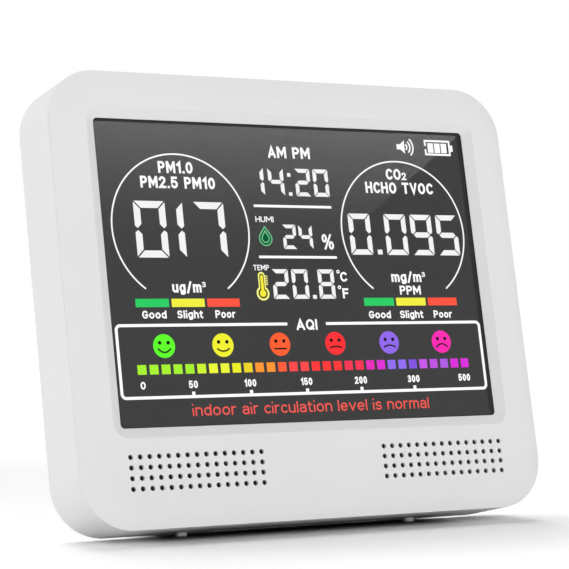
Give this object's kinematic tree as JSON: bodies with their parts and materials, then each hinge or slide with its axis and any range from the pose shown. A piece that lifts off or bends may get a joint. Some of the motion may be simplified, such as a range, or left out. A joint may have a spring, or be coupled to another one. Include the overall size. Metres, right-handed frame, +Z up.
{
  "type": "air quality monitor",
  "caption": "Desk air quality monitor: white rounded case leaning back on a fold-out rear leg, large dark display under a clear window, perforated grilles, rear vents and push buttons.",
  "frame": {"origin": "on the floor, under the centre of the whole object's box", "axes": "+Z up, -Y towards the front where the display faces, +X to the viewer's right when looking at the display"},
  "size_m": [0.157, 0.0524, 0.1355],
  "materials": {
    "white_shell": "fine satin texture, injection moulded ABS",
    "white_button": "satin",
    "clear_window": "clear, hard coated, glossy",
    "black_adhesive": "matt tape",
    "lcd_dark": "dark display glass, smooth",
    "optical_clear": "translucent acrylic",
    "optical_white": "white film",
    "led_board": "white solder mask with yellow lamps",
    "frame_white": "plain moulded",
    "flex_amber": "polyimide film",
    "pcb_green": "solder mask",
    "chip_black": "moulded epoxy",
    "connector_cream": "nylon",
    "steel": "plain",
    "nickel": "nickel plated",
    "gold_sensor": "gold plated",
    "sensor_white": "plain",
    "battery_silver": "laminated pouch",
    "mesh_dark": "woven dust mesh",
    "foam_dark": "open cell foam",
    "foot_grey": "soft light grey rubber",
    "cone_black": "polymer film",
    "wire_red": "PVC insulation"
  },
  "bodies": {
    "housing": {"front_cover": "white_shell", "rear_cover": "white_shell", "bottom_foot_left": "foot_grey", "bottom_foot_right": "foot_grey", "case_screws": "steel", "board_screws": "steel", "button_board_screws": "steel", "stand_pins": "steel", "display_window": "clear_window", "window_tape": "black_adhesive", "lcd_glass": "lcd_dark", "backlight_diffuser": "optical_white", "light_guide": "optical_clear", "backlight_reflector": "optical_white", "backlight_led_strip": "led_board", "lcd_frame": "frame_white", "lcd_ribbon": "flex_amber", "main_board": "pcb_green", "board_chips": "chip_black", "board_connectors": "connector_cream", "usb_c_shell": "nickel", "usb_c_tongue": "chip_black", "battery_tape": "black_adhesive", "battery_pack": "battery_silver", "button_board": "pcb_green", "tact_switches": "nickel", "sensor_board": "pcb_green", "formaldehyde_sensor": "sensor_white", "voc_sensor": "nickel", "temp_humidity_sensor": "chip_black", "co2_sensor": "gold_sensor", "pm_sensor_case": "chip_black", "pm_sensor_board": "pcb_green", "pm_laser_module": "sensor_white", "pm_fan_shaft": "steel", "pm_sensor_lid": "steel", "rear_filter": "foam_dark", "grille_mesh_left": "mesh_dark", "grille_mesh_right": "mesh_dark", "speaker_gasket": "foam_dark", "speaker_frame": "chip_black", "speaker_cone": "cone_black", "speaker_magnet": "steel", "battery_lead": "wire_red", "speaker_lead": "wire_red", "button_lead": "wire_red"},
    "stand": {"stand": "white_shell", "stand_foot_pad": "foot_grey"},
    "pm_fan": {"pm_fan_rotor": "chip_black"},
    "power_button": {"power_button": "white_button", "power_switch_plunger": "chip_black"},
    "mode_button": {"mode_button": "white_button", "mode_switch_plunger": "chip_black"},
    "down_button": {"down_button": "white_button", "down_switch_plunger": "chip_black"},
    "up_button": {"up_button": "white_button", "up_switch_plunger": "chip_black"}
  },
  "joints": [
    {"name": "stand_hinge", "type": "hinge", "parent": "housing", "child": "stand", "pos_m": [0, 0.01081, 0.07892], "axis": [-1, 0, 0], "range_deg": [0, 22]},
    {"name": "power_press", "type": "slide", "parent": "housing", "child": "power_button", "axis": [0, -0.9781, 0.2079], "range_m": [0, 0.0005], "stiffness_N_per_m": 800},
    {"name": "mode_press", "type": "slide", "parent": "housing", "child": "mode_button", "axis": [0, -0.9781, 0.2079], "range_m": [0, 0.0005], "stiffness_N_per_m": 800},
    {"name": "down_press", "type": "slide", "parent": "housing", "child": "down_button", "axis": [0, -0.9781, 0.2079], "range_m": [0, 0.0005], "stiffness_N_per_m": 800},
    {"name": "up_press", "type": "slide", "parent": "housing", "child": "up_button", "axis": [0, -0.9781, 0.2079], "range_m": [0, 0.0005], "stiffness_N_per_m": 800},
    {"name": "fan_spin", "type": "hinge", "parent": "housing", "child": "pm_fan", "pos_m": [-0.0535, 0.0058, 0.08662], "axis": [0, 0.9781, -0.2079], "continuous": true}
  ]
}
